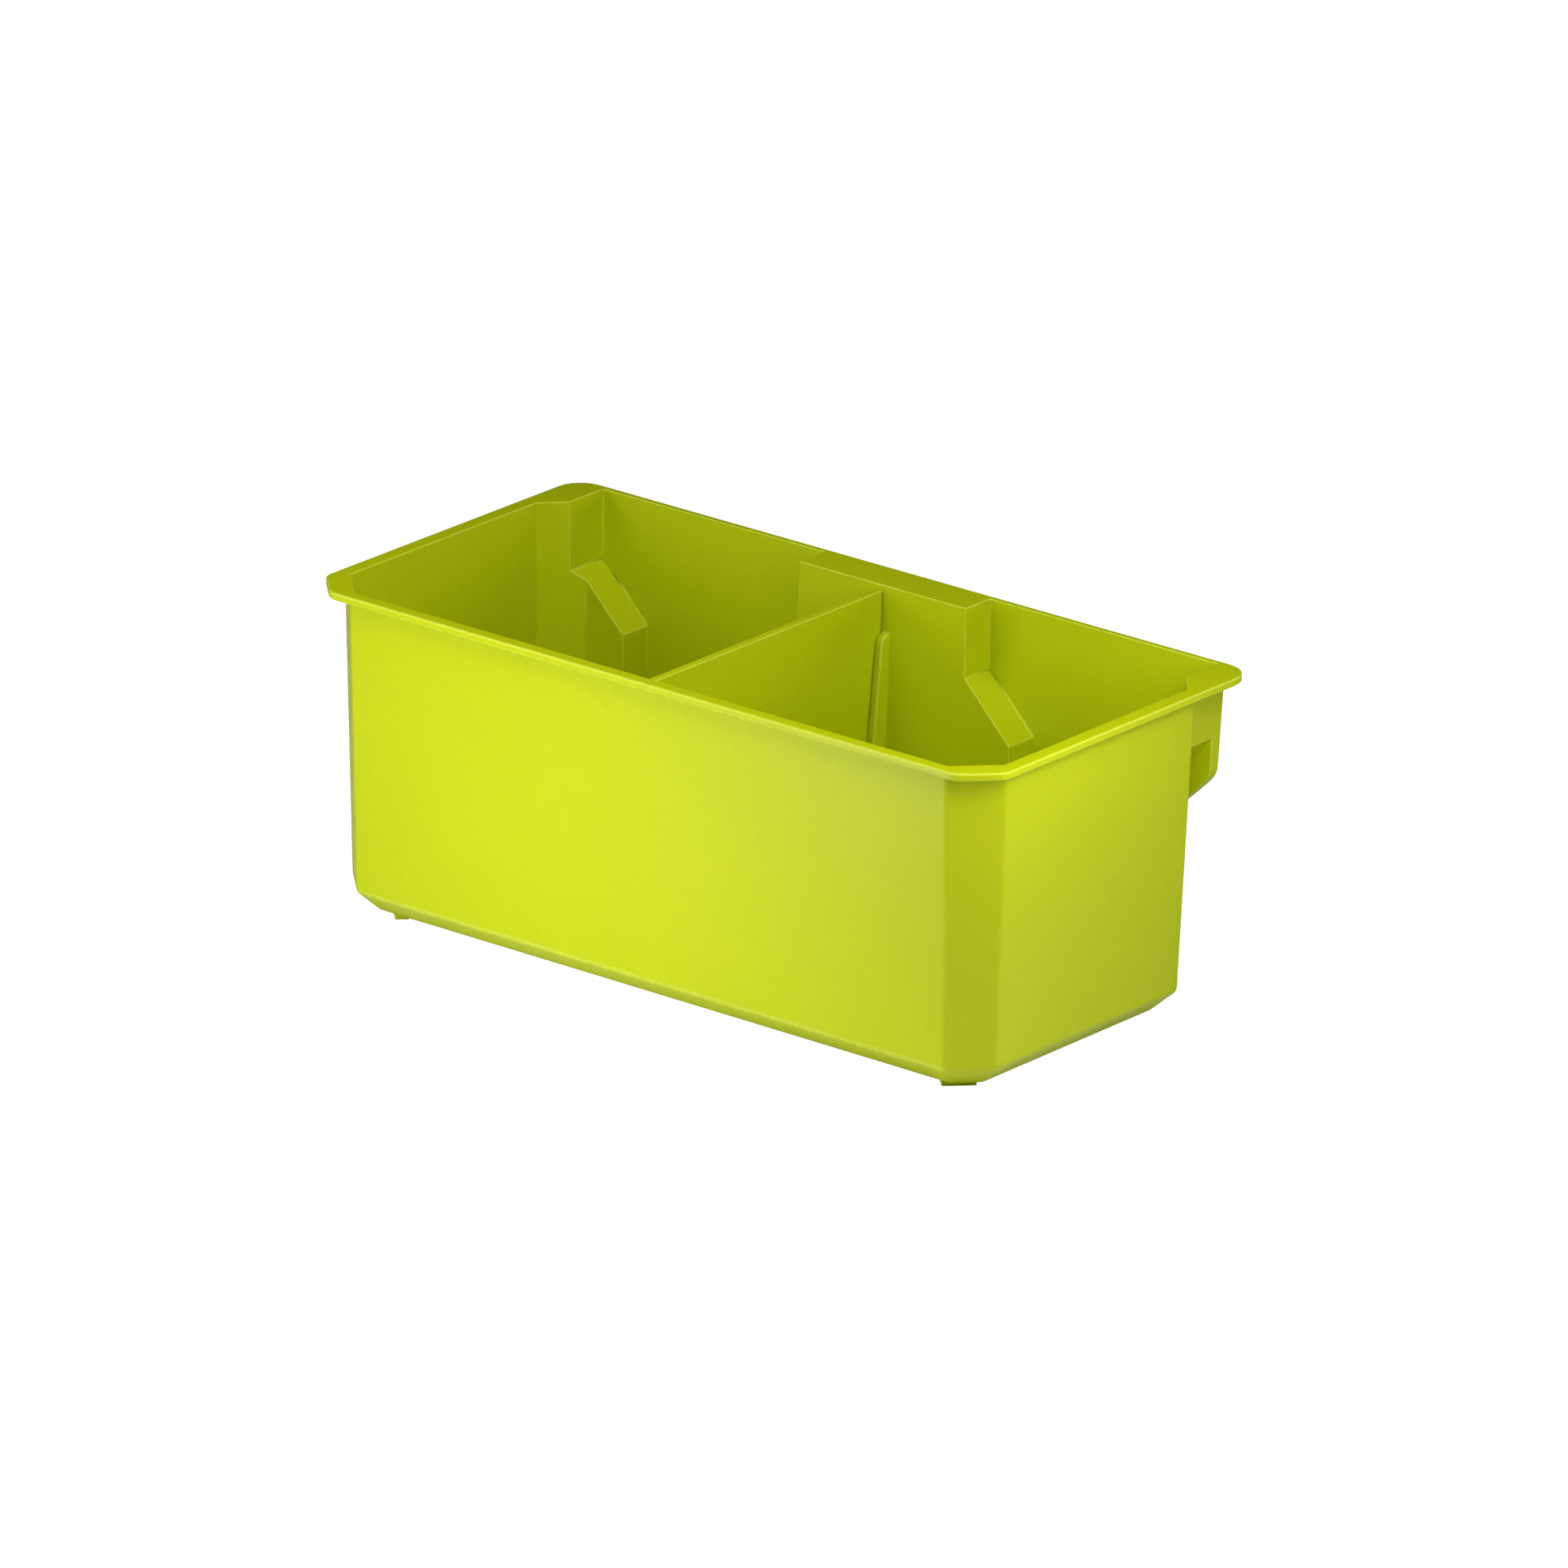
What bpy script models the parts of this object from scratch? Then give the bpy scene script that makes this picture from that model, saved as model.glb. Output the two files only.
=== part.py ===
"""Cleaning caddy: a one-piece moulded tub with two rear pockets, and a lift-out divider.

Metres, +Z up, the rim's long side along X and the pockets on the +Y side. The origin is under the
middle of the object at floor level. "Down" means the distance below the top of the rim, and "back"
the distance behind the rim's front edge.
"""

import math

import bmesh
import bpy

# Overall size: the rim is the longest and widest part, and the feet stand on z = 0.
LENGTH = 0.380
WIDTH = 0.188
HEIGHT = 0.1525
FRONT = -WIDTH / 2

# Moulded walls
WALL = 0.0024
FLOOR = 0.0025
DRAFT = math.tan(math.radians(1.8))
CORNER_STEPS = 6

# Rim: a flat plate with cut front corners and round back corners
RIM_THICK = 0.0035
RIM_FRONT_CUT = 0.0155
RIM_FRONT_ROUND = 0.008
RIM_BACK_ROUND = 0.0135
RIM_LAP = 0.0015

# Body, outside, at rim level
BODY_HALF = 0.1850
BODY_FRONT = 0.0040
BODY_BACK = 0.1701
BODY_CUT = 0.0186
BODY_BACK_CUT = 0.0174
BODY_ROUND = 0.0035
WALL_DEPTH = 0.1398
BASE_DEPTH = 0.1495
BASE_INSET = 0.0104

# Rear pockets, inside, at rim level: wide at the top, then 45 degree shoulders to a narrow column
POCKET_INNER = 0.0465
POCKET_OUTER = 0.1724
POCKET_BACK = 0.1848
SHOULDER_DEPTH = 0.0319
COLUMN_DEPTH = 0.0574
COLUMN_INNER = 0.0735
COLUMN_OUTER = 0.1446
POCKET_START = 0.150
POCKET_BASE_INSET = 0.0085

# Rib under each pocket's outer shoulder, along the back
RIB_FRONT = 0.1801
RIB_CORNER = 0.0512
RIB_CORNER_REACH = 0.0045
RIB_CORNER_STEPS = 4

# Feet: four pads set across the corners
FOOT_LONG = 0.0150
FOOT_SHORT = 0.0062
FOOT_HIGH = HEIGHT - BASE_DEPTH
FOOT_TAPER = 0.0005
FOOT_RIGHT = 0.1584
FOOT_LEFT = -0.1548
FOOT_FRONT = 0.0270
FOOT_LAP = 0.0012

# Divider: a flat plate across the tub that stands on the floor between four guide ribs
DIVIDER_X = -0.0014
DIVIDER_THICK = 0.0040
DIVIDER_DEPTH = 0.0024
DIVIDER_GAP = 0.0006
GUIDE_GAP = 0.0005
GUIDE_THICK = 0.0036
GUIDE_DEPTH = 0.0215
GUIDE_NOSE = 0.0050
GUIDE_NOSE_STEPS = 5
GUIDE_FOOT = 0.0135

CUTTER_ABOVE = 0.010
SHARP_ANGLE = math.radians(20)
HALF_DIAGONAL = 2.0 - math.sqrt(2.0)


def clear_scene():
    for obj in list(bpy.data.objects):
        bpy.data.objects.remove(obj, do_unlink=True)


def new_collection(name, helper):
    collection = bpy.data.collections.new(name)
    collection.hide_render = helper
    bpy.context.scene.collection.children.link(collection)
    return collection


def new_plastic(name, color, roughness):
    material = bpy.data.materials.new(name)
    material.use_nodes = True
    shader = material.node_tree.nodes["Principled BSDF"]
    shader.inputs["Base Color"].default_value = (*color, 1.0)
    shader.inputs["Roughness"].default_value = roughness
    return material


def rounded(corners):
    """Points of a closed outline from its corners (x, y, radius), counter-clockwise."""
    points = []
    for index, (x, y, radius) in enumerate(corners):
        before = corners[index - 1]
        after = corners[(index + 1) % len(corners)]
        if radius == 0:
            points.append((x, y))
            continue
        enter = math.atan2(y - before[1], x - before[0])
        leave = math.atan2(after[1] - y, after[0] - x)
        turn = (leave - enter + math.pi) % (2 * math.pi) - math.pi
        reach = radius * math.tan(turn / 2)
        center_x = x - reach * math.cos(enter) - radius * math.sin(enter)
        center_y = y - reach * math.sin(enter) + radius * math.cos(enter)
        for step in range(CORNER_STEPS + 1):
            angle = enter - math.pi / 2 + turn * step / CORNER_STEPS
            points.append((center_x + radius * math.cos(angle), center_y + radius * math.sin(angle)))
    return points


def box_outline(x0, x1, y0, y1):
    return [(x0, y0), (x1, y0), (x1, y1), (x0, y1)]


def body_outline(inset, radius=0.0, end_cut=BODY_CUT):
    """The eight-sided body outline, moved inwards by the same amount on every side.

    The back corners are cut by BODY_BACK_CUT along the back, and by end_cut along the ends.
    """
    half = BODY_HALF - inset
    front = FRONT + BODY_FRONT + inset
    back = FRONT + BODY_BACK - inset
    cut = BODY_CUT - HALF_DIAGONAL * inset
    back_cut = BODY_BACK_CUT - HALF_DIAGONAL * inset
    end_cut -= HALF_DIAGONAL * inset
    sides = [
        (-half + cut, front),
        (half - cut, front),
        (half, front + cut),
        (half, back - end_cut),
        (half - back_cut, back),
        (-half + back_cut, back),
        (-half, back - end_cut),
        (-half, front + cut),
    ]
    return rounded([(x, y, radius) for x, y in sides])


def loft(name, rings, collection):
    """A closed solid through rings (height, outline) that hold the same number of points."""
    mesh = bpy.data.meshes.new(name)
    work = bmesh.new()
    loops = [[work.verts.new((x, y, z)) for x, y in outline] for z, outline in rings]
    count = len(loops[0])
    for low, high in zip(loops, loops[1:]):
        for i in range(count):
            j = (i + 1) % count
            work.faces.new((low[i], low[j], high[j], high[i]))
    work.faces.new(loops[0][::-1])
    work.faces.new(loops[-1])
    bmesh.ops.recalc_face_normals(work, faces=work.faces)
    work.to_mesh(mesh)
    work.free()
    obj = bpy.data.objects.new(name, mesh)
    collection.objects.link(obj)
    return obj


def plate(name, profile, x0, x1, collection):
    """A flat plate between two values of x, from a profile of (y, z) points."""
    mesh = bpy.data.meshes.new(name)
    work = bmesh.new()
    face = work.faces.new([work.verts.new((x0, y, z)) for y, z in profile])
    moved = bmesh.ops.extrude_face_region(work, geom=[face])["geom"]
    for vert in (item for item in moved if isinstance(item, bmesh.types.BMVert)):
        vert.co.x = x1
    bmesh.ops.recalc_face_normals(work, faces=work.faces)
    work.to_mesh(mesh)
    work.free()
    obj = bpy.data.objects.new(name, mesh)
    collection.objects.link(obj)
    return obj


def boolean(target, tool, operation):
    modifier = target.modifiers.new(tool.name, "BOOLEAN")
    modifier.operation = operation
    modifier.solver = "EXACT"
    modifier.object = tool


def make_body(collection):
    """The tub's outer block: tapered walls, a sloped band near the floor, then a flat base."""
    insets = {
        BASE_DEPTH: WALL_DEPTH * DRAFT + BASE_INSET,
        WALL_DEPTH: WALL_DEPTH * DRAFT,
        RIM_LAP: RIM_LAP * DRAFT,
    }
    rings = [
        (HEIGHT - down, body_outline(inset, BODY_ROUND, BODY_BACK_CUT))
        for down, inset in insets.items()
    ]
    return loft("tub", rings, collection)


def make_cavity(collection):
    """The main hollow, one wall thickness inside the outer block."""
    slope = DRAFT * WALL_DEPTH + WALL
    rings = [
        (HEIGHT - BASE_DEPTH + FLOOR, body_outline(slope + BASE_INSET - FLOOR)),
        (HEIGHT - WALL_DEPTH + WALL / 2, body_outline(slope)),
        (HEIGHT, body_outline(WALL)),
        (HEIGHT + CUTTER_ABOVE, body_outline(WALL)),
    ]
    return loft("cavity_cutter", rings, collection)


def mirror_left(obj):
    """Adds the left-hand copy of a tool that is modelled on the right."""
    mirror = obj.modifiers.new("left_side", "MIRROR")
    mirror.use_axis = (True, False, False)
    mirror.use_mirror_merge = False
    return obj


def pocket_sides(down, grow):
    """Inner and outer x of a pocket at a depth, made larger by grow on both sides."""
    lift = grow * (math.sqrt(2.0) - 1.0)
    shoulder = SHOULDER_DEPTH + lift
    column = COLUMN_DEPTH + lift
    top_draft = min(down, shoulder) * DRAFT
    inner = POCKET_INNER + top_draft
    outer = POCKET_OUTER - top_draft
    if down > shoulder:
        share = min(1.0, (down - shoulder) / (column - shoulder))
        inner += (COLUMN_INNER - inner) * share
        outer += (COLUMN_OUTER - outer) * share
    if down > column:
        inner += (down - column) * DRAFT
        outer -= (down - column) * DRAFT
    return inner - grow, outer + grow


def pocket_back(down, grow):
    return FRONT + POCKET_BACK + grow - down * DRAFT


def rib_corner_points():
    """Depth and x of the round outer corner of the rib under a pocket's shoulder, from the top down."""
    side = POCKET_OUTER + WALL - RIB_CORNER * DRAFT
    points = []
    for step in range(RIB_CORNER_STEPS + 1):
        above = (1 - step / RIB_CORNER_STEPS) ** 2
        below = (step / RIB_CORNER_STEPS) ** 2 * math.sqrt(0.5)
        down = RIB_CORNER + RIB_CORNER_REACH * (below - above)
        points.append((down, side + RIB_CORNER_REACH * (above * DRAFT - below)))
    return points


def slab_sides():
    """Outer x at each depth of the slab at a pocket's back, which carries on below the shoulder."""
    corner = rib_corner_points()
    corner_down, corner_x = corner[-1]
    end = corner_down + corner_x - COLUMN_OUTER - WALL
    lift = WALL * (math.sqrt(2.0) - 1.0)
    sides = dict(corner)
    sides[COLUMN_DEPTH + lift] = corner_x - (COLUMN_DEPTH + lift - corner_down)
    for down in (RIM_LAP, SHOULDER_DEPTH + lift, end, WALL_DEPTH):
        sides[down] = pocket_sides(down, WALL)[1]
    return sides


def make_pocket_shells(collection):
    """The outside of both pockets: a front block, a back slab and the sloped base under them."""
    start = FRONT + POCKET_START
    middle = FRONT + RIB_FRONT
    front = []
    slab = []
    for down, slab_outer in sorted(slab_sides().items(), reverse=True):
        inner, outer = pocket_sides(down, WALL)
        z = HEIGHT - down
        front.append((z, box_outline(inner, outer, start, middle)))
        slab.append((z, box_outline(inner, slab_outer, middle, pocket_back(down, WALL))))
    inner, outer = pocket_sides(WALL_DEPTH, WALL)
    back = pocket_back(WALL_DEPTH, WALL)
    inset = BASE_INSET
    base = [
        (HEIGHT - BASE_DEPTH, box_outline(inner + inset, outer - inset, start, back - inset)),
        (HEIGHT - WALL_DEPTH, box_outline(inner, outer, start, back)),
    ]
    shells = loft("pocket_shells", front, collection)
    boolean(shells, loft("pocket_slab", slab, collection), "UNION")
    boolean(shells, loft("pocket_base", base, collection), "UNION")
    return mirror_left(shells)


def make_pocket_cutters(collection):
    """The inside of both pockets, open at the top and down to the tub's floor."""
    start = FRONT + POCKET_START
    rings = []
    for down in (WALL_DEPTH, COLUMN_DEPTH, SHOULDER_DEPTH, 0.0):
        sides = pocket_sides(down, 0.0)
        rings.append((HEIGHT - down, box_outline(*sides, start, pocket_back(down, 0.0))))
    inner, outer = pocket_sides(WALL_DEPTH, 0.0)
    inset = POCKET_BASE_INSET
    back = pocket_back(WALL_DEPTH, 0.0) - inset
    base = (HEIGHT - BASE_DEPTH + FLOOR, box_outline(inner + inset, outer - inset, start, back))
    top = (HEIGHT + CUTTER_ABOVE, rings[-1][1])
    return mirror_left(loft("pocket_cutters", [base, *rings, top], collection))


def make_rim(collection):
    """The flat rim plate before the hollows are cut."""
    half = LENGTH / 2
    cut = RIM_FRONT_CUT
    outline = rounded(
        [
            (-half + cut, FRONT, RIM_FRONT_ROUND),
            (half - cut, FRONT, RIM_FRONT_ROUND),
            (half, FRONT + cut, RIM_FRONT_ROUND),
            (half, -FRONT, RIM_BACK_ROUND),
            (-half, -FRONT, RIM_BACK_ROUND),
            (-half, FRONT + cut, RIM_FRONT_ROUND),
        ]
    )
    return loft("rim_plate", [(HEIGHT - RIM_THICK, outline), (HEIGHT, outline)], collection)


def make_feet(collection):
    """Four pads whose long sides run across the body's cut corners."""
    back_row = BODY_FRONT + BODY_BACK - FOOT_FRONT
    feet = []
    for label, x, y, outward in (
        ("front_left", FOOT_LEFT, FOOT_FRONT, -135),
        ("front_right", FOOT_RIGHT, FOOT_FRONT, -45),
        ("back_left", FOOT_LEFT, back_row, 135),
        ("back_right", FOOT_RIGHT, back_row, 45),
    ):
        rings = []
        for z, spare in ((0.0, 0.0), (FOOT_HIGH + FOOT_LAP, FOOT_TAPER)):
            across = FOOT_SHORT / 2 + spare
            along = FOOT_LONG / 2 + spare
            rings.append((z, box_outline(-across, across, -along, along)))
        foot = loft("foot_" + label, rings, collection)
        foot.location = (x, FRONT + y, 0)
        foot.rotation_euler.z = math.radians(outward)
        feet.append(foot)
    return feet


def guide_profile():
    """Side profile (y, z) of a guide rib on the back wall: round nose, sloped front, foot on the floor."""
    inner = FRONT + BODY_BACK - WALL
    root = WALL / 2
    nose_y = inner - GUIDE_DEPTH * DRAFT
    profile = [(nose_y + root, HEIGHT - GUIDE_DEPTH)]
    for step in range(GUIDE_NOSE_STEPS + 1):
        angle = math.pi / 2 * step / GUIDE_NOSE_STEPS
        profile.append(
            (
                nose_y - GUIDE_NOSE * math.sin(angle),
                HEIGHT - GUIDE_DEPTH - GUIDE_NOSE * (1 - math.cos(angle)),
            )
        )
    bottom = HEIGHT - BASE_DEPTH + FLOOR / 2
    foot_y = inner - WALL_DEPTH * DRAFT
    band = BASE_INSET - FLOOR / 2
    profile.append((foot_y - GUIDE_FOOT, bottom))
    profile.append((foot_y + root - band, bottom))
    profile.append((foot_y + root, HEIGHT - WALL_DEPTH))
    return profile


def make_guides(collection):
    """Two ribs on the back wall and two on the front wall, either side of the divider."""
    back = guide_profile()
    middle = 2 * FRONT + BODY_FRONT + BODY_BACK
    front = [(middle - y, z) for y, z in reversed(back)]
    near = DIVIDER_THICK / 2 + GUIDE_GAP
    far = near + GUIDE_THICK
    guides = []
    for label, profile in (("back", back), ("front", front)):
        for side, low, high in (("left", -far, -near), ("right", near, far)):
            name = "guide_" + label + "_" + side
            guides.append(plate(name, profile, DIVIDER_X + low, DIVIDER_X + high, collection))
    return guides


def make_tub(collection, cutters):
    tub = make_body(collection)
    boolean(tub, make_pocket_shells(cutters), "UNION")
    boolean(tub, make_rim(cutters), "UNION")
    for foot in make_feet(cutters):
        boolean(tub, foot, "UNION")
    boolean(tub, make_cavity(cutters), "DIFFERENCE")
    boolean(tub, make_pocket_cutters(cutters), "DIFFERENCE")
    for guide in make_guides(cutters):
        boolean(tub, guide, "UNION")
    return tub


def make_divider(collection):
    """A plate that follows the tub's tapered front and back walls and the sloped band at the floor."""
    inner_front = FRONT + BODY_FRONT + WALL + DIVIDER_GAP
    inner_back = FRONT + BODY_BACK - WALL - DIVIDER_GAP
    low = WALL_DEPTH * DRAFT
    band_top = HEIGHT - WALL_DEPTH + WALL / 2
    floor = HEIGHT - BASE_DEPTH + FLOOR + DIVIDER_GAP
    band = BASE_INSET - FLOOR
    top = HEIGHT - DIVIDER_DEPTH
    profile = [
        (inner_front + low + band, floor),
        (inner_back - low - band, floor),
        (inner_back - low, band_top + DIVIDER_GAP),
        (inner_back - DIVIDER_DEPTH * DRAFT, top),
        (inner_front + DIVIDER_DEPTH * DRAFT, top),
        (inner_front + low, band_top + DIVIDER_GAP),
    ]
    divider = plate("divider", profile, -DIVIDER_THICK / 2, DIVIDER_THICK / 2, collection)
    divider.location.x = DIVIDER_X
    return divider


def main():
    clear_scene()
    caddy = new_collection("cleaning_caddy", helper=False)
    cutters = new_collection("cleaning_caddy_tools", helper=True)
    tub = make_tub(caddy, cutters)
    divider = make_divider(caddy)
    tub.data.materials.append(new_plastic("tub_plastic", (0.48, 0.56, 0.015), 0.38))
    divider.data.materials.append(new_plastic("divider_plastic", (0.46, 0.54, 0.016), 0.42))
    for tool in cutters.objects:
        tool.hide_render = True
        tool.display_type = "WIRE"
    for piece in (tub, divider):
        piece.data.shade_smooth()
        piece.data.set_sharp_from_angle(angle=SHARP_ANGLE)


main()
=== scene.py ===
"""Cleaning caddy: the looks. A satin lime green tub with a lift-out divider, on a plain pale floor.

The CAD solids have sharp edges. Each is copied here, its flat faces are joined up again, and every
edge gets the radius that the moulding has there. Metres throughout, in the frame's own axes.
"""

import math

import bmesh
import bpy
from mathutils import Matrix, Vector


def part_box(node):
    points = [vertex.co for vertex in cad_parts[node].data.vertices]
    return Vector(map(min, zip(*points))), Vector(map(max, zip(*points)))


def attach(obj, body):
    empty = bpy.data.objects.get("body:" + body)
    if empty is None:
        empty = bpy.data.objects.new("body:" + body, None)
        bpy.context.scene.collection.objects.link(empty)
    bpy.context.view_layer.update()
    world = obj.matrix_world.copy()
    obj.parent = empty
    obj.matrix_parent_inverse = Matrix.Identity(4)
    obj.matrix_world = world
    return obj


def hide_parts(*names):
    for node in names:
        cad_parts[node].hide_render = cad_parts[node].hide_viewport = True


# Camera: the photograph's viewing angle and distance, and the lens in millimetres
CAMERA_AZIMUTH = math.radians(38.75)
CAMERA_ELEVATION = math.radians(20.10)
CAMERA_ROLL = math.radians(0.99)
CAMERA_DISTANCE = 8.233
CAMERA_LENS = 434.1
CAMERA_SENSOR = 36.0
CAMERA_CLIP = (0.1, 60.0)
CAMERA_AIM = Vector((0.0031, 0.0035, 0.0035))

# Edges: an edge that turns more than EDGE_ANGLE is rounded, with a radius that suits its place
EDGE_ANGLE = math.radians(24)
FLAT_ANGLE = math.radians(0.6)
TUB_SPLITS = (-0.1548, -0.1094, 0.0300, 0.1094, 0.1584)
EDGE_STEPS = 3
WIDEST_EDGE = 0.0020
PLAIN_EDGE = 0.0005
RIM_TOP_EDGE = 0.0009
RIM_LOW_EDGE = 0.0007
RIM_BACK_EDGE = 0.0003
INNER_CORNER = 0.0008
BAND_EDGE = 0.0016
BODY_EDGE = 0.0011
FOOT_EDGE = 0.0003
BASE_EDGE = 0.00015
GUIDE_EDGE = 0.0009
GUIDE_ROOT = 0.0010
GUIDE_SLOT_EDGE = 0.00025
DIVIDER_EDGE = 0.0005

# Plastic: its greens, and how many clouds, spots and grains there are in a metre
LIME = (0.530, 0.610, 0.0030)
PALE_LIME = (0.555, 0.632, 0.0060)
DARK_LIME = (0.430, 0.510, 0.0010)
# A paler lime on the strips of the rounded edges: a painted highlight, standing in for light that the edges
# catch
EDGE_HIGHLIGHT_LIME = (0.600, 0.680, 0.0350)
SPECULAR = 0.20
SATIN = 0.34
EDGE_GLOSS = 0.27
CLOUD_SCALE = 14
MOTTLE_SCALE = 420
GRAIN_SCALE = 1900
WAVE_SCALE = 26
GRAIN_HEIGHT = 0.00006
WAVE_HEIGHT = 0.0006
GRAIN_STRENGTH = 0.30
WAVE_STRENGTH = 0.35
CLOUD_MOST = 0.6
MOTTLE_MOST = 0.10
GLOSS_SPREAD = (-0.03, 0.04)
NOISE_MIDDLE = (0.3, 0.7)

# Stage: a white floor for the camera, and just below it one that throws light back up
FLOOR_SIZE = 12.0
FLOOR_GAP = 0.0002
FLOOR_PALE = (0.30, 0.30, 0.30)
FLOOR_GLOW = 1.00
BOUNCE_PALE = (0.85, 0.85, 0.85)
BOUNCE_GLOW = 0.0
FLOOR_ROUGHNESS = 0.9
FLOOR_SPECULAR = 0.1

# Light: softboxes as (name, azimuth and rise in degrees, distance, size, watts)
LIGHT_AIM = 0.08
WORLD_GLOW = 0.0
LIGHTS = (
    ("front_low", -8, 0, 0.40, 0.13, 0.54),
    ("front_left", -43, 20, 0.85, 0.36, 1.60),
    ("front_top", -18, 59, 0.52, 0.22, 0.95),
    ("right_top", 75, 50, 0.70, 0.40, 1.50),
    ("right_end", 76, 26, 0.40, 0.16, 0.40),
    ("right_back", 150, 12, 2.50, 1.60, 20.0),
    ("left_fill", -50, 12, 2.50, 1.60, 4.0),
)

# Slits: a gap that narrows to nothing along the back of each pocket's sloping shoulder
SHOULDER_DOWN = 0.0319
SHOULDER_X = (0.0475, 0.1714)
COLUMN_DOWN = 0.0574
COLUMN_X = (0.0735, 0.1446)
SLIT_WIDE = 0.0016
SLIT_LONG = 0.0130
SLIT_DEEP = 0.0012
SLIT_ABOVE = 0.0010
POCKET_BACK = 0.0032
DRAFT = math.tan(math.radians(1.8))

# Where those places are, measured from the tub's box
RIM_THICK = 0.0035
FOOT_HIGH = 0.0030
BAND_HIGH = 0.0127
COLUMN_REACH = 0.0200
OUTER_EDGE = 0.0010
GUIDE_REACH = 0.0075
GUIDE_SLOT_SIDE = 0.0040
GUIDE_DEEP = 0.024
GUIDE_DOWN = 0.015
REAR_WALL = 0.0165
RIM_CORNER = 0.017
RIM_STRIP = 0.0030
BAND_ABOVE = 0.003
UPRIGHT_LONG = 0.05
FRONT_CORNER = 0.03
SAME_HEIGHT = 0.0004

# Which way a face looks, from one part of its normal
SLOPING = (0.1, 0.9)
SIDEWAYS = 0.5


def look_along(azimuth, elevation, roll):
    """A camera's rotation from its azimuth, the height it looks down from, and its roll."""
    turn = Matrix.Rotation(azimuth, 3, "Z")
    tilt = Matrix.Rotation(math.pi / 2 - elevation, 3, "X")
    return (turn @ tilt @ Matrix.Rotation(roll, 3, "Z")).to_4x4()


def add_camera(center):
    """The photograph's camera, which looks at a place just off the tub's center."""
    data = bpy.data.cameras.new("camera")
    data.lens = CAMERA_LENS
    data.sensor_width = CAMERA_SENSOR
    data.clip_start, data.clip_end = CAMERA_CLIP
    camera = bpy.data.objects.new("camera", data)
    turn = look_along(CAMERA_AZIMUTH, CAMERA_ELEVATION, CAMERA_ROLL)
    back = Matrix.Translation((0, 0, CAMERA_DISTANCE))
    camera.matrix_world = Matrix.Translation(center + CAMERA_AIM) @ turn @ back
    bpy.context.scene.collection.objects.link(camera)
    bpy.context.scene.camera = camera


def is_outer(point, low, high):
    """True on the upright outer face of the rim."""
    beyond_side = max(point.x - high.x, low.x - point.x) > -OUTER_EDGE
    beyond_end = max(point.y - high.y, low.y - point.y) > -OUTER_EDGE
    corner = abs(point.x) - high.x - point.y + low.y
    return beyond_side or beyond_end or corner > -RIM_CORNER


def tub_edge_radius(edge, low, high, slot):
    """The radius of one of the tub's edges, from its place, the divider slot's x and which way it turns."""
    middle = (edge.verts[0].co + edge.verts[1].co) / 2
    convex = edge.is_convex
    rim_low = high.z - RIM_THICK
    slopes = any(SLOPING[0] < abs(face.normal.z) < SLOPING[1] for face in edge.link_faces)
    if middle.z < low.z + FOOT_HIGH + SAME_HEIGHT:
        if slopes:
            return BASE_EDGE
        return FOOT_EDGE if middle.z < low.z + SAME_HEIGHT else 0
    across = abs(middle.x - slot)
    by_end = min(middle.y - low.y, high.y - REAR_WALL - middle.y) < GUIDE_DEEP
    if across < GUIDE_REACH and by_end and middle.z < high.z - GUIDE_DOWN:
        if across < GUIDE_SLOT_SIDE:
            return GUIDE_SLOT_EDGE
        return GUIDE_EDGE if convex else GUIDE_ROOT
    if middle.z > high.z - SAME_HEIGHT:
        return RIM_TOP_EDGE if is_outer(middle, low, high) else PLAIN_EDGE
    if abs(middle.z - rim_low) < SAME_HEIGHT:
        if middle.y > high.y - RIM_STRIP:
            return RIM_BACK_EDGE
        return RIM_LOW_EDGE if convex else PLAIN_EDGE
    if middle.z < low.z + BAND_HIGH + BAND_ABOVE and middle.y < high.y - COLUMN_REACH:
        return BAND_EDGE if convex else PLAIN_EDGE
    upright = abs(edge.verts[0].co.z - edge.verts[1].co.z) > UPRIGHT_LONG
    if convex and upright and middle.y < low.y + FRONT_CORNER:
        return BODY_EDGE
    return PLAIN_EDGE if convex else INNER_CORNER


def join_flats(work, splits):
    """Joins the triangles of each flat face. The splits, values of x, keep a face with holes in pieces."""
    bmesh.ops.remove_doubles(work, verts=work.verts, dist=1e-6)
    for place in splits:
        everything = work.verts[:] + work.edges[:] + work.faces[:]
        made = bmesh.ops.bisect_plane(
            work, geom=everything, dist=1e-6, plane_co=(place, 0, 0), plane_no=(1, 0, 0)
        )
        for item in made["geom_cut"]:
            if isinstance(item, bmesh.types.BMEdge):
                item.seam = True
    bmesh.ops.dissolve_limit(
        work, angle_limit=FLAT_ANGLE, verts=work.verts, edges=work.edges, delimit={"SEAM"}
    )


def rounded_copy(node, name, splits, radius_of):
    """A copy of a CAD node with whole flat faces and rounded edges, which stands for that node."""
    mesh = node.data.copy()
    mesh.name = name
    work = bmesh.new()
    work.from_mesh(mesh)
    join_flats(work, splits)
    weight = work.edges.layers.float.new("bevel_weight_edge")
    for edge in work.edges:
        edge.smooth = True
        if edge.calc_face_angle(0) > EDGE_ANGLE:
            edge[weight] = radius_of(edge) / WIDEST_EDGE
    for face in work.faces:
        face.smooth = True
    work.to_mesh(mesh)
    work.free()
    piece = bpy.data.objects.new(name, mesh)
    bpy.context.scene.collection.objects.link(piece)
    bevel = piece.modifiers.new("edges", "BEVEL")
    bevel.limit_method = "WEIGHT"
    bevel.width = WIDEST_EDGE
    bevel.segments = EDGE_STEPS
    bevel.use_clamp_overlap = False
    # The rounded strips take the second material, a paler lime that is a painted highlight
    bevel.material = 1
    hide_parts(node.name)
    return piece


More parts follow.
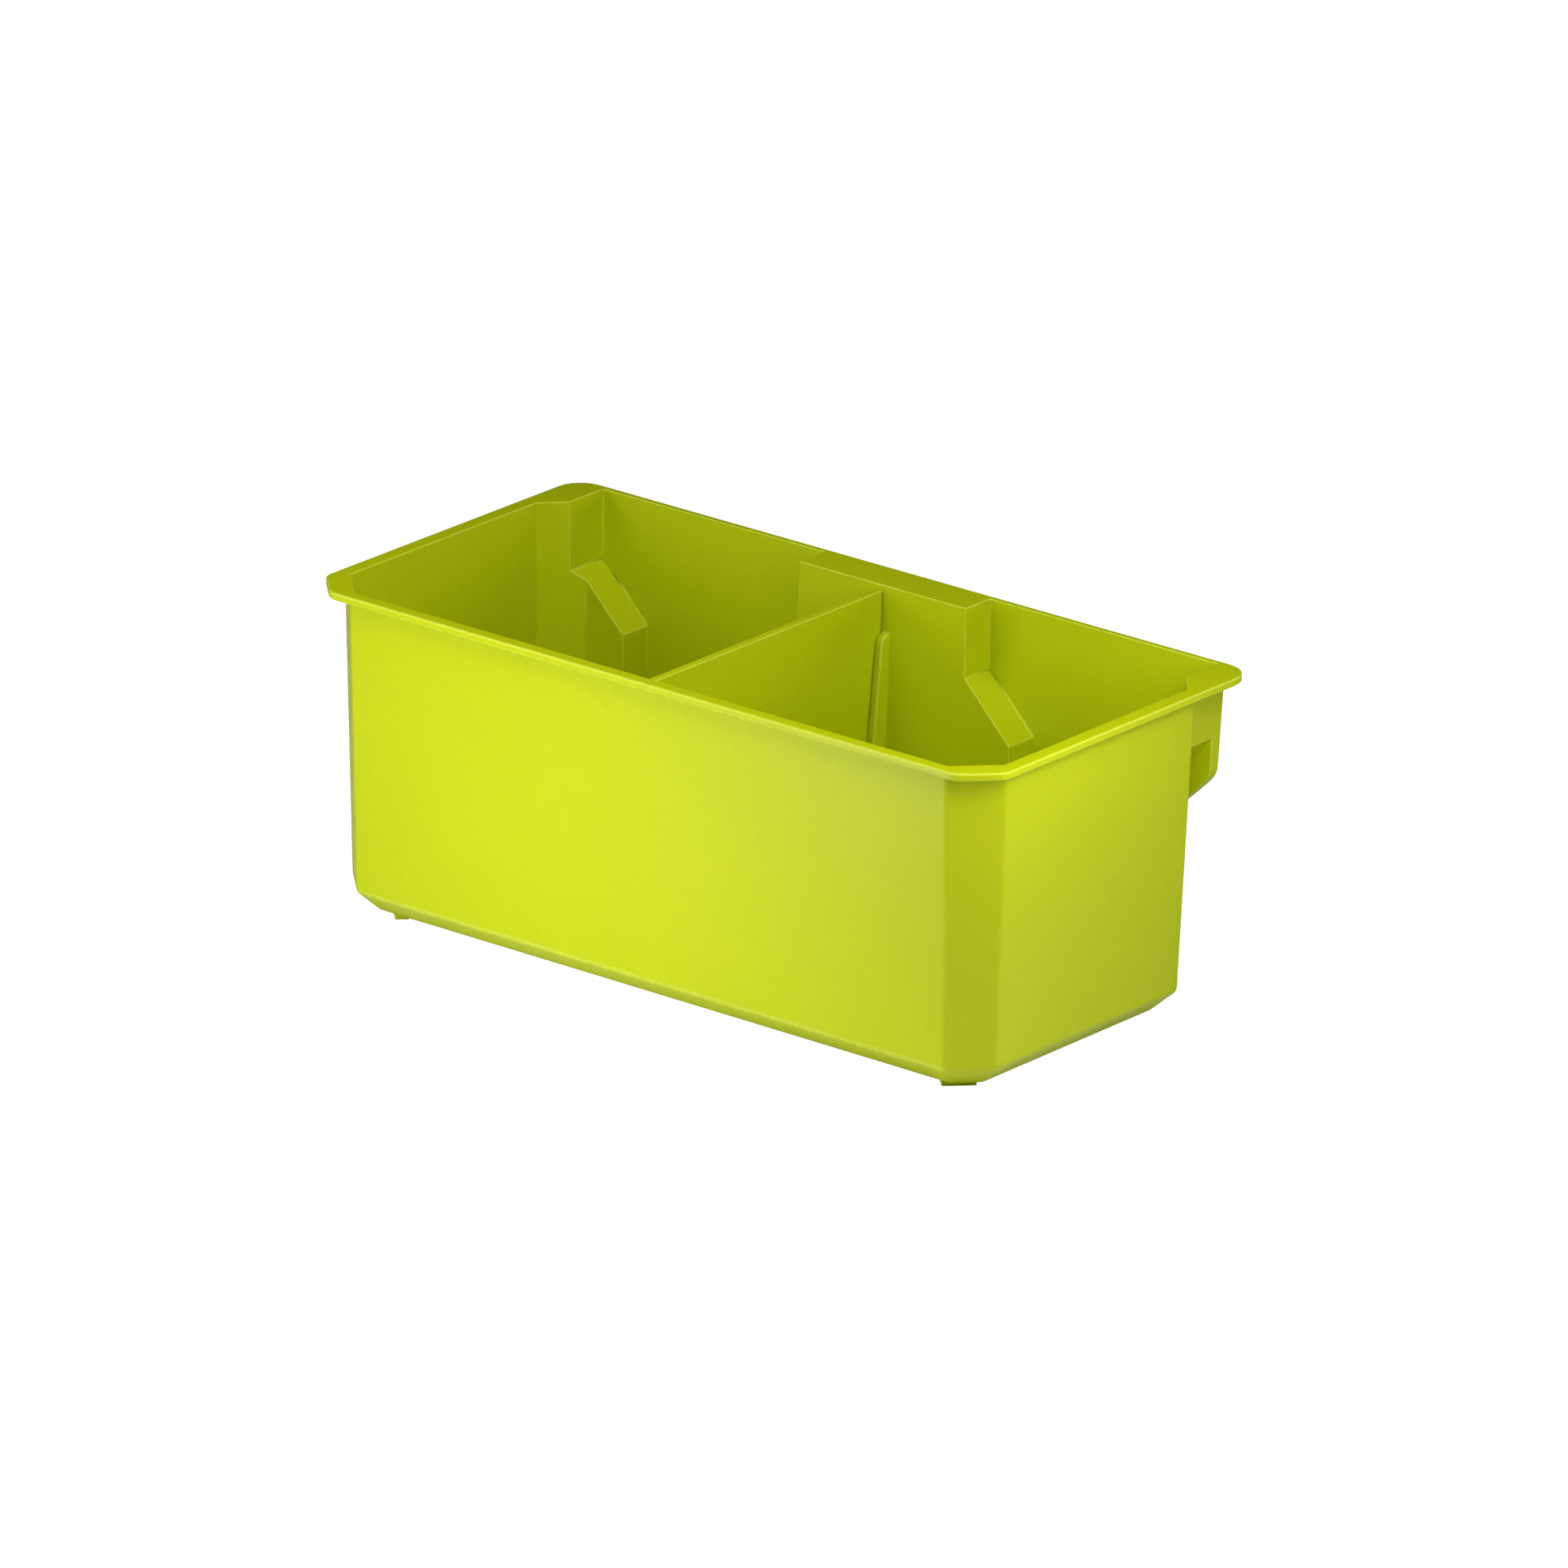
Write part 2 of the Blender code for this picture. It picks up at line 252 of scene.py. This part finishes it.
def slit_cutter(side, which, low, high):
    """A wedge along the back edge of one shoulder, which starts in its upper corner."""
    top_x = side * SHOULDER_X[which]
    run = Vector((side * (COLUMN_X[which] - SHOULDER_X[which]), 0, SHOULDER_DOWN - COLUMN_DOWN))
    back = high.y - POCKET_BACK - SHOULDER_DOWN * DRAFT
    corner = Vector((top_x, back, high.z - SHOULDER_DOWN))
    end = corner + run.normalized() * SLIT_LONG
    outline = (corner, corner - Vector((0, SLIT_WIDE, 0)), end)
    up = Vector((-run.z * math.copysign(1, run.x), 0, abs(run.x))).normalized()
    work = bmesh.new()
    lifts = (-SLIT_DEEP, SLIT_ABOVE)
    rings = [[work.verts.new(point + up * lift) for point in outline] for lift in lifts]
    work.faces.new(rings[0])
    work.faces.new(rings[1])
    for i in range(len(outline)):
        j = (i + 1) % len(outline)
        work.faces.new((rings[0][i], rings[0][j], rings[1][j], rings[1][i]))
    bmesh.ops.recalc_face_normals(work, faces=work.faces)
    mesh = bpy.data.meshes.new("slit_cutter")
    work.to_mesh(mesh)
    work.free()
    cutter = bpy.data.objects.new("slit_cutter", mesh)
    bpy.context.scene.collection.objects.link(cutter)
    return cutter


def cut_slits(piece, low, high):
    """Cuts the four slits and keeps the result as the piece's own mesh."""
    cutters = [slit_cutter(side, which, low, high) for side in (-1, 1) for which in (0, 1)]
    for cutter in cutters:
        modifier = piece.modifiers.new("slit", "BOOLEAN")
        modifier.operation = "DIFFERENCE"
        modifier.solver = "EXACT"
        modifier.object = cutter
    graph = bpy.context.evaluated_depsgraph_get()
    piece.data = bpy.data.meshes.new_from_object(piece.evaluated_get(graph))
    piece.modifiers.clear()
    for cutter in cutters:
        bpy.data.objects.remove(cutter)


def plain_hollows(mesh):
    """Gives inner corners and the end wall's low band the walls' own finish. Only outer convex edges keep
    the paler colour, which is a painted highlight.
    """
    work = bmesh.new()
    work.from_mesh(mesh)
    band_top = min(vert.co.z for vert in work.verts) + BAND_HIGH + BAND_EDGE
    for face in work.faces:
        turns = [edge.calc_face_angle_signed(0) for edge in face.edges]
        on_end_band = abs(face.normal.x) > SIDEWAYS and face.calc_center_median().z < band_top
        if face.material_index and (sum(turns) < 0 or on_end_band):
            face.material_index = 0
    work.to_mesh(mesh)
    work.free()


def flatten_normals(piece):
    normals = piece.modifiers.new("flat_faces", "WEIGHTED_NORMAL")
    normals.weight = 100


def add_noise(tree, place, scale, detail):
    """A noise texture over the object's own space. The scale is in features a metre."""
    noise = tree.nodes.new("ShaderNodeTexNoise")
    noise.inputs["Scale"].default_value = scale
    noise.inputs["Detail"].default_value = detail
    tree.links.new(place.outputs["Object"], noise.inputs["Vector"])
    return noise.outputs["Fac"]


def add_range(tree, value, low, high):
    """Spreads the middle of a noise, which seldom nears 0 or 1, over a range."""
    spread = tree.nodes.new("ShaderNodeMapRange")
    spread.inputs["From Min"].default_value = NOISE_MIDDLE[0]
    spread.inputs["From Max"].default_value = NOISE_MIDDLE[1]
    spread.inputs["To Min"].default_value = low
    spread.inputs["To Max"].default_value = high
    tree.links.new(value, spread.inputs["Value"])
    return spread.outputs["Result"]


def add_mix(tree, factor, first, second):
    """Mixes two colours. The first can be a socket."""
    mix = tree.nodes.new("ShaderNodeMix")
    mix.data_type = "RGBA"
    tree.links.new(factor, mix.inputs["Factor"])
    if isinstance(first, bpy.types.NodeSocket):
        tree.links.new(first, mix.inputs["A"])
    else:
        mix.inputs["A"].default_value = (*first, 1)
    mix.inputs["B"].default_value = (*second, 1)
    return mix.outputs["Result"]


def add_bump(tree, height, strength, distance, before=None):
    bump = tree.nodes.new("ShaderNodeBump")
    bump.inputs["Strength"].default_value = strength
    bump.inputs["Distance"].default_value = distance
    tree.links.new(height, bump.inputs["Height"])
    if before:
        tree.links.new(before, bump.inputs["Normal"])
    return bump.outputs["Normal"]


def plastic(name, color, pale, roughness):
    """Satin moulded plastic: cloudy pigment, a fine grain, slow waves and uneven gloss."""
    material = bpy.data.materials.new(name)
    material.use_nodes = True
    tree = material.node_tree
    shader = tree.nodes["Principled BSDF"]
    shader.inputs["Specular IOR Level"].default_value = SPECULAR
    place = tree.nodes.new("ShaderNodeTexCoord")
    clouds = add_noise(tree, place, CLOUD_SCALE, 3)
    mottle = add_noise(tree, place, MOTTLE_SCALE, 2)
    grain = add_noise(tree, place, GRAIN_SCALE, 1)
    waves = add_noise(tree, place, WAVE_SCALE, 1)
    tint = add_mix(tree, add_range(tree, clouds, 0, CLOUD_MOST), color, pale)
    tint = add_mix(tree, add_range(tree, mottle, 0, MOTTLE_MOST), tint, DARK_LIME)
    tree.links.new(tint, shader.inputs["Base Color"])
    gloss = add_range(tree, mottle, *(roughness + change for change in GLOSS_SPREAD))
    tree.links.new(gloss, shader.inputs["Roughness"])
    slow = add_bump(tree, waves, WAVE_STRENGTH, WAVE_HEIGHT)
    fine = add_bump(tree, grain, GRAIN_STRENGTH, GRAIN_HEIGHT, slow)
    tree.links.new(fine, shader.inputs["Normal"])
    return material


def add_area(name, azimuth, rise, distance, size, power):
    """A square light that faces the tub. The azimuth starts in front and goes round to the right."""
    turn = math.radians(azimuth)
    tilt = math.radians(rise)
    way = Vector((math.sin(turn) * math.cos(tilt), -math.cos(turn) * math.cos(tilt), math.sin(tilt)))
    data = bpy.data.lights.new(name, "AREA")
    data.size = size
    data.energy = power
    light = bpy.data.objects.new(name, data)
    light.visible_camera = False
    light.location = way * distance + Vector((0, 0, LIGHT_AIM))
    light.rotation_euler = way.to_track_quat("Z", "Y").to_euler()
    bpy.context.scene.collection.objects.link(light)


def plain_white(name, color, emission):
    material = bpy.data.materials.new(name)
    material.use_nodes = True
    shader = material.node_tree.nodes["Principled BSDF"]
    shader.inputs["Base Color"].default_value = (*color, 1)
    shader.inputs["Roughness"].default_value = FLOOR_ROUGHNESS
    shader.inputs["Specular IOR Level"].default_value = FLOOR_SPECULAR
    shader.inputs["Emission Color"].default_value = (1, 1, 1, 1)
    shader.inputs["Emission Strength"].default_value = emission
    return material


def add_plane(name, size, height, material):
    mesh = bpy.data.meshes.new(name)
    work = bmesh.new()
    bmesh.ops.create_grid(work, x_segments=1, y_segments=1, size=size / 2)
    work.to_mesh(mesh)
    work.free()
    plane = bpy.data.objects.new(name, mesh)
    plane.location.z = height
    mesh.materials.append(material)
    bpy.context.scene.collection.objects.link(plane)
    return plane


def add_floor():
    """The white floor that the camera sees, and one below it that it doesn't, which lights the tub."""
    floor = add_plane("floor", FLOOR_SIZE, 0, plain_white("floor_white", FLOOR_PALE, FLOOR_GLOW))
    floor.visible_diffuse = False
    floor.visible_glossy = False
    floor.visible_shadow = False
    below = plain_white("floor_bounce_white", BOUNCE_PALE, BOUNCE_GLOW)
    bounce = add_plane("floor_bounce", FLOOR_SIZE, -FLOOR_GAP, below)
    bounce.visible_camera = False


def add_light():
    world = bpy.data.worlds.new("studio")
    world.use_nodes = True
    world.node_tree.nodes["Background"].inputs["Strength"].default_value = WORLD_GLOW
    bpy.context.scene.world = world
    for light in LIGHTS:
        add_area(*light)
    bpy.context.scene.view_settings.view_transform = "Standard"


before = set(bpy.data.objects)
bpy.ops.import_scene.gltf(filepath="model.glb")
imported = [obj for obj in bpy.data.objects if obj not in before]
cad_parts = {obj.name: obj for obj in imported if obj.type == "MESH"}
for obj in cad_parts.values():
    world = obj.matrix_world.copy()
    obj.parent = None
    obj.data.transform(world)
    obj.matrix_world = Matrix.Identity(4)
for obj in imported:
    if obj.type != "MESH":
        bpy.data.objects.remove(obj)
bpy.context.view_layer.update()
low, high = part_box("tub")
divider_low, divider_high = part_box("divider")
slot = (divider_low.x + divider_high.x) / 2
add_camera((low + high) / 2)
tub = rounded_copy(
    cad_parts["tub"], "tub_moulding", TUB_SPLITS, lambda edge: tub_edge_radius(edge, low, high, slot)
)
divider = rounded_copy(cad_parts["divider"], "divider_plate", (), lambda edge: DIVIDER_EDGE)
finish = plastic("lime_plastic", LIME, PALE_LIME, SATIN)
# The edges' material is paler than the walls: a painted highlight along the rounded edges
edge_painted_highlight = plastic("lime_plastic_painted_edge_highlight", EDGE_HIGHLIGHT_LIME, EDGE_HIGHLIGHT_LIME, EDGE_GLOSS)
for piece, body, slot_name in ((tub, "tub", "tub_plastic"), (divider, "divider", "divider_plastic")):
    piece.data.materials.clear()
    piece.data.materials.append(finish)
    piece.data.materials.append(edge_painted_highlight)
    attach(piece, body)
cut_slits(tub, low, high)
plain_hollows(tub.data)
for piece in (tub, divider):
    flatten_normals(piece)
add_floor()
add_light()
